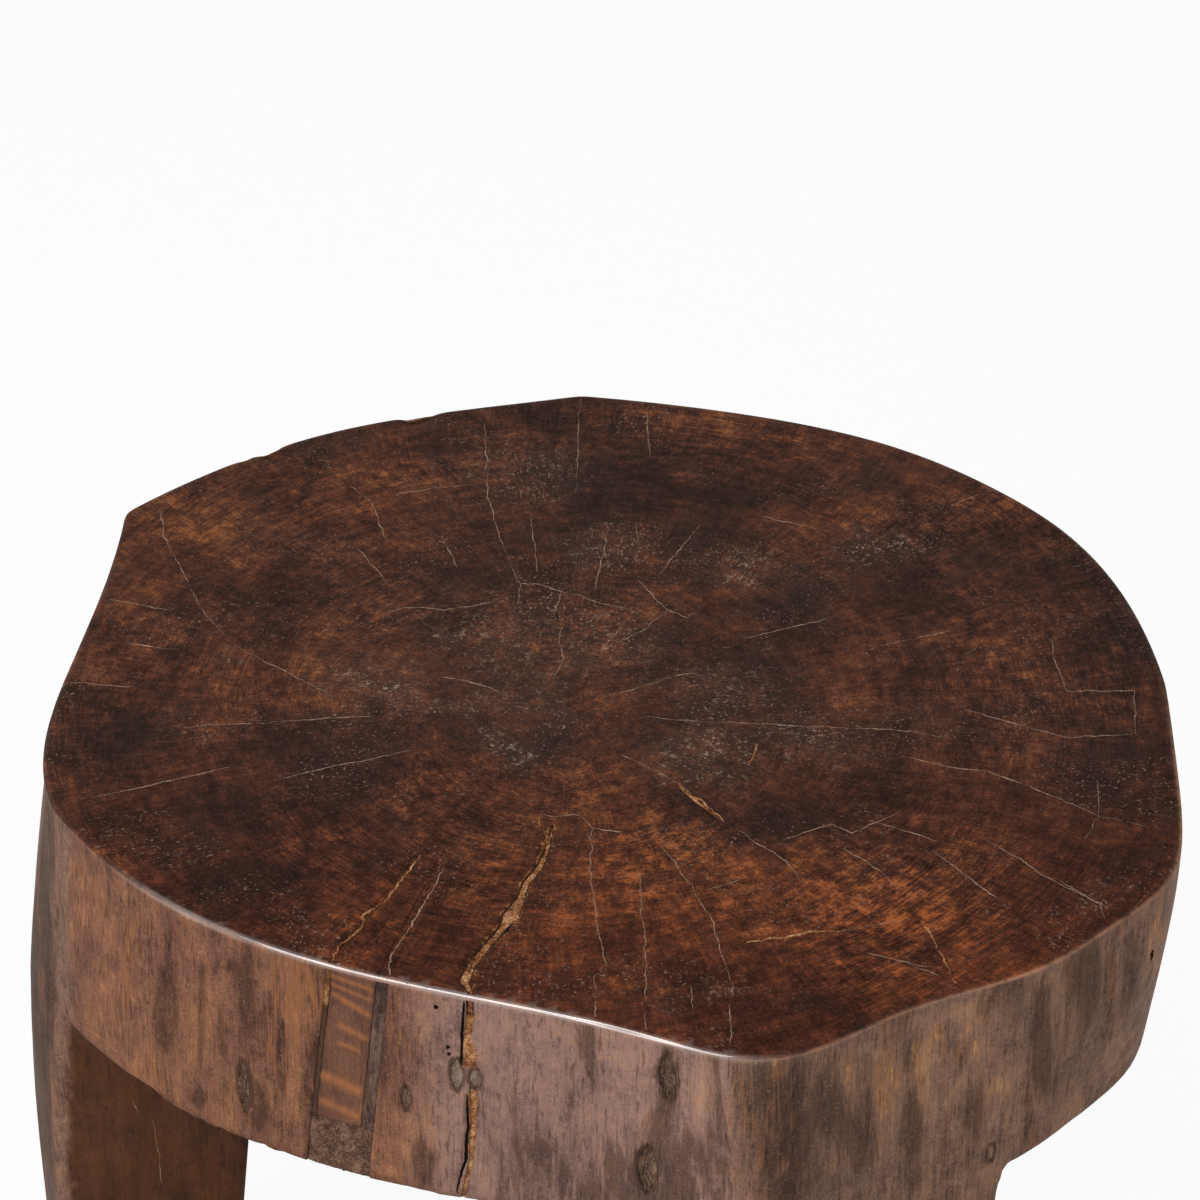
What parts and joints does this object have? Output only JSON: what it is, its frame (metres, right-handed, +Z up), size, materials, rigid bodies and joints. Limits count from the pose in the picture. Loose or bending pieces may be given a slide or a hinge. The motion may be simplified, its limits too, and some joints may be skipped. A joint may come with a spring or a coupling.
{
  "type": "low stool",
  "caption": "Low round stool carved whole from a log, with a thick flat seat on tapering legs, and old wedge and filler repairs in its drying checks.",
  "frame": {"origin": "on the floor, below the middle of the stool", "axes": "+Z up, +X to the right and -Y towards the front of the stool as pictured"},
  "size_m": [0.3949, 0.384, 0.3],
  "materials": {
    "log_wood": "waxed and worn, end grain on the seat",
    "wedge_wood": "waxed, lighter wood with tool marks across it",
    "tan_filler": "matt filler of wood dust and glue",
    "dark_filler": "matt dark filler of wood dust and glue",
    "grey_putty": "matt and grainy",
    "knot_wood": "dark, dry knot wood with bark round it"
  },
  "bodies": {
    "root": {"carved_trunk": "log_wood", "repair_wedge": "wedge_wood", "wedge_left_filler": "tan_filler", "wedge_right_filler": "dark_filler", "wedge_foot_filler": "grey_putty", "check_top_filler": "tan_filler", "check_upper_filler": "tan_filler", "check_lower_filler": "tan_filler", "left_putty": "grey_putty", "right_putty": "grey_putty", "pin_knots": "knot_wood", "short_check_fillers": "tan_filler"}
  },
  "joints": []
}
